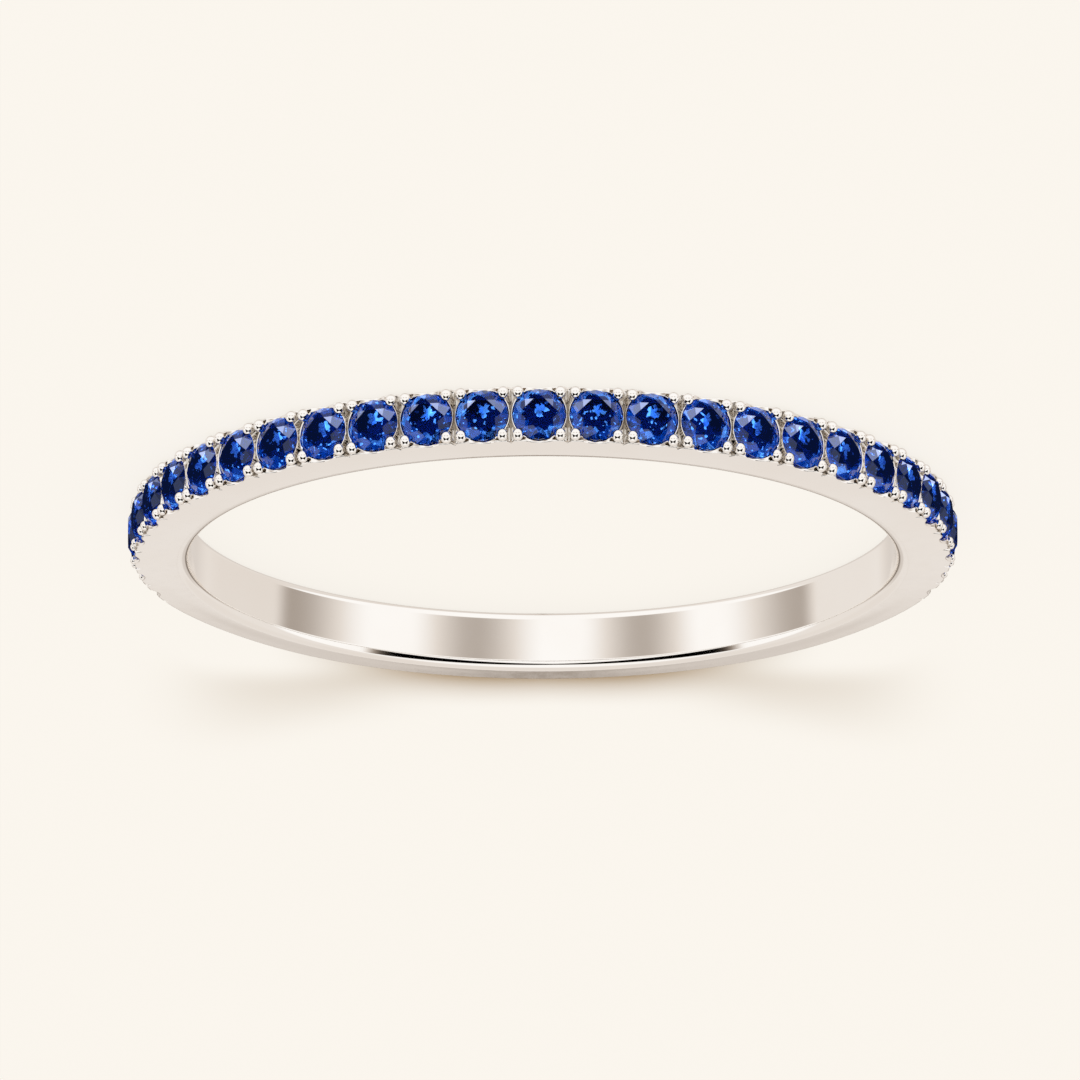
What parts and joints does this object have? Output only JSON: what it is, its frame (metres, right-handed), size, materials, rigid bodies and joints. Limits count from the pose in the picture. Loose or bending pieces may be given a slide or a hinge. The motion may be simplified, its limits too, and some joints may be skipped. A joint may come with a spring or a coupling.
{
  "type": "sapphire band ring",
  "caption": "Thin white metal finger ring with a row of round blue sapphires held by ball beads round its front and a plain shank behind.",
  "frame": {"origin": "on the axis of the finger hole, at half the width of the band", "axes": "+Z along the finger hole, up when the ring lies on its side; the middle stone faces -Y"},
  "size_m": [0.0204, 0.0198, 0.0014],
  "materials": {
    "white_metal": "polished warm white gold",
    "sapphire": "polished facets, deep blue"
  },
  "bodies": {
    "root": {"band": "white_metal", "stone_01": "sapphire", "stone_02": "sapphire", "stone_03": "sapphire", "stone_04": "sapphire", "stone_05": "sapphire", "stone_06": "sapphire", "stone_07": "sapphire", "stone_08": "sapphire", "stone_09": "sapphire", "stone_10": "sapphire", "stone_11": "sapphire", "stone_12": "sapphire", "stone_13": "sapphire", "stone_14": "sapphire", "stone_15": "sapphire", "stone_16": "sapphire", "stone_17": "sapphire", "stone_18": "sapphire", "stone_19": "sapphire", "stone_20": "sapphire", "stone_21": "sapphire", "stone_22": "sapphire", "stone_23": "sapphire", "stone_24": "sapphire", "stone_25": "sapphire", "stone_26": "sapphire", "stone_27": "sapphire"}
  },
  "joints": []
}
